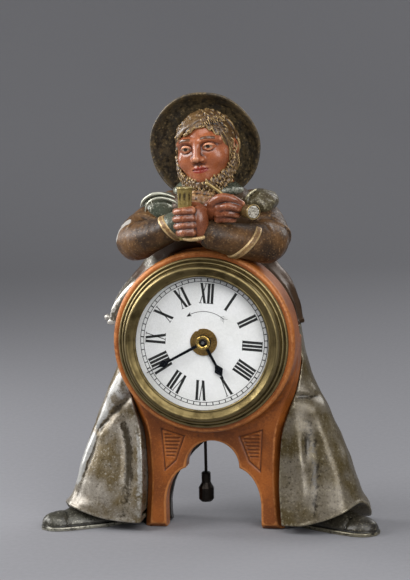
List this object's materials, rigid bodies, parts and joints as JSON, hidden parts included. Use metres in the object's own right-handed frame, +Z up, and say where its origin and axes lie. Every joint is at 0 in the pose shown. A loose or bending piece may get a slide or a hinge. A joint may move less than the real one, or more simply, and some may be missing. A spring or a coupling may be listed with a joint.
{
  "type": "figural clock",
  "caption": "Figural mantel alarm clock: a bearded figure in a broad hat leans folded arms on a round clock with a pendulum and straddles it in wide trousers.",
  "frame": {"origin": "middle of the footprint, on the floor that legs and shoes stand on", "axes": "+Z up, the dial faces -Y, +X to the right of the dial"},
  "size_m": [0.1996, 0.0934, 0.2549],
  "materials": {
    "painted_case": "worn burnt-orange paint on cast metal",
    "bezel_brass": "darkened brass",
    "brass": "satin brass",
    "steel": "brushed steel",
    "blued_steel": "blued steel",
    "enamel": "white enamel on copper",
    "glass": "clear flat glass",
    "flesh_paint": "glossy terracotta paint",
    "coat_paint": "worn dark brown paint",
    "flap_paint": "worn grey-green paint",
    "hat_paint": "worn black-brown paint",
    "trouser_paint": "silver-grey paint with olive patina",
    "shoe_paint": "dark grey-green paint",
    "tumbler_paint": "olive-gold varnish",
    "pipe_paint": "olive-gold varnish"
  },
  "bodies": {
    "case_and_figure": {"clock_case": "painted_case", "dial_plate": "enamel", "front_plate": "brass", "back_plate": "brass", "ratchet_click": "steel", "pendulum_cock": "brass", "alarm_bell": "brass", "back_cover": "brass", "head": "flesh_paint", "hat": "hat_paint", "coat": "coat_paint", "sleeve_left": "coat_paint", "sleeve_right": "coat_paint", "hand_left": "flesh_paint", "hand_right": "flesh_paint", "beer_glass": "tumbler_paint", "tobacco_pipe": "pipe_paint", "shoulder_flap_left": "flap_paint", "shoulder_flap_right": "flap_paint", "trouser_left": "trouser_paint", "trouser_right": "trouser_paint", "shoe_left": "shoe_paint", "shoe_right": "shoe_paint", "plate_pillar_1": "brass", "plate_pillar_2": "brass", "plate_pillar_3": "brass", "plate_pillar_4": "brass", "cover_screw_1": "steel", "cover_screw_2": "steel", "cover_screw_3": "steel"},
    "bezel": {"bezel": "bezel_brass", "bezel_glass": "glass"},
    "minute_arbor": {"centre_arbor": "steel", "cannon_pinion": "steel", "minute_hand": "blued_steel", "hand_nut": "brass", "setting_knob": "brass"},
    "hour_pipe": {"hour_wheel": "brass", "hour_hand": "blued_steel"},
    "minute_wheel": {"minute_wheel": "brass"},
    "alarm_disc": {"alarm_disc": "brass"},
    "fourth_wheel": {"fourth_wheel": "brass"},
    "third_wheel": {"third_wheel": "brass"},
    "centre_wheel": {"centre_wheel": "brass"},
    "spring_barrel": {"spring_barrel": "brass", "barrel_cover": "brass", "mainspring": "steel"},
    "escape_wheel": {"escape_wheel": "brass"},
    "winding_arbor": {"barrel_arbor": "steel", "ratchet_wheel": "steel", "winding_key": "brass"},
    "pendulum": {"anchor": "steel", "pendulum_rod": "blued_steel", "pendulum_bob": "blued_steel"},
    "alarm_barrel": {"alarm_barrel": "brass", "alarm_key": "brass"},
    "alarm_hammer": {"alarm_hammer": "steel"}
  },
  "joints": [
    {"name": "bezel_slide", "type": "slide", "parent": "case_and_figure", "child": "bezel", "axis": [0, -1, 0], "range_m": [0, 0.012]},
    {"name": "minute_hand_turn", "type": "hinge", "parent": "case_and_figure", "child": "minute_arbor", "pos_m": [0.00225, 0.00513, 0.1133], "axis": [0, 1, 0], "continuous": true},
    {"name": "hour_hand_turn", "type": "hinge", "parent": "case_and_figure", "child": "hour_pipe", "pos_m": [0.00225, 0.00513, 0.1133], "axis": [0, 1, 0], "continuous": true},
    {"name": "minute_wheel_turn", "type": "hinge", "parent": "case_and_figure", "child": "minute_wheel", "pos_m": [0.01425, 0.00513, 0.1133], "axis": [0, 1, 0], "continuous": true},
    {"name": "alarm_disc_turn", "type": "hinge", "parent": "case_and_figure", "child": "alarm_disc", "pos_m": [0.00225, 0.00513, 0.1133], "axis": [0, 1, 0], "continuous": true},
    {"name": "fourth_wheel_turn", "type": "hinge", "parent": "case_and_figure", "child": "fourth_wheel", "pos_m": [0.00914, 0.00513, 0.14022], "axis": [0, 1, 0], "continuous": true},
    {"name": "third_wheel_turn", "type": "hinge", "parent": "case_and_figure", "child": "third_wheel", "pos_m": [0.01615, 0.00513, 0.12473], "axis": [0, 1, 0], "continuous": true},
    {"name": "centre_wheel_turn", "type": "hinge", "parent": "case_and_figure", "child": "centre_wheel", "pos_m": [0.00225, 0.00513, 0.1133], "axis": [0, 1, 0], "continuous": true},
    {"name": "spring_barrel_turn", "type": "hinge", "parent": "case_and_figure", "child": "spring_barrel", "pos_m": [-0.0126, 0.00513, 0.09845], "axis": [0, 1, 0], "continuous": true},
    {"name": "escape_wheel_turn", "type": "hinge", "parent": "case_and_figure", "child": "escape_wheel", "pos_m": [-0.00355, 0.00513, 0.1343], "axis": [0, 1, 0], "continuous": true},
    {"name": "winding_key_turn", "type": "hinge", "parent": "case_and_figure", "child": "winding_arbor", "pos_m": [-0.0126, 0.00513, 0.09845], "axis": [0, 1, 0], "continuous": true},
    {"name": "pendulum_swing", "type": "hinge", "parent": "case_and_figure", "child": "pendulum", "pos_m": [-0.00355, 0.00513, 0.1449], "axis": [0, 1, 0], "range_deg": [-4, 4]},
    {"name": "alarm_key_turn", "type": "hinge", "parent": "case_and_figure", "child": "alarm_barrel", "pos_m": [0.02125, 0.00513, 0.0933], "axis": [0, 1, 0], "continuous": true},
    {"name": "alarm_hammer_swing", "type": "hinge", "parent": "case_and_figure", "child": "alarm_hammer", "pos_m": [0.03325, 0.00513, 0.1103], "axis": [0, -1, 0], "range_deg": [-6, 2]}
  ],
  "couplings": [
    {"joint": "hour_hand_turn", "follows": "minute_hand_turn", "ratio": 0.083333},
    {"joint": "minute_wheel_turn", "follows": "minute_hand_turn", "ratio": -0.33333},
    {"joint": "third_wheel_turn", "follows": "fourth_wheel_turn", "ratio": -0.13333},
    {"joint": "centre_wheel_turn", "follows": "fourth_wheel_turn", "ratio": 0.016667},
    {"joint": "spring_barrel_turn", "follows": "fourth_wheel_turn", "ratio": -0.0027778},
    {"joint": "escape_wheel_turn", "follows": "fourth_wheel_turn", "ratio": -6}
  ]
}
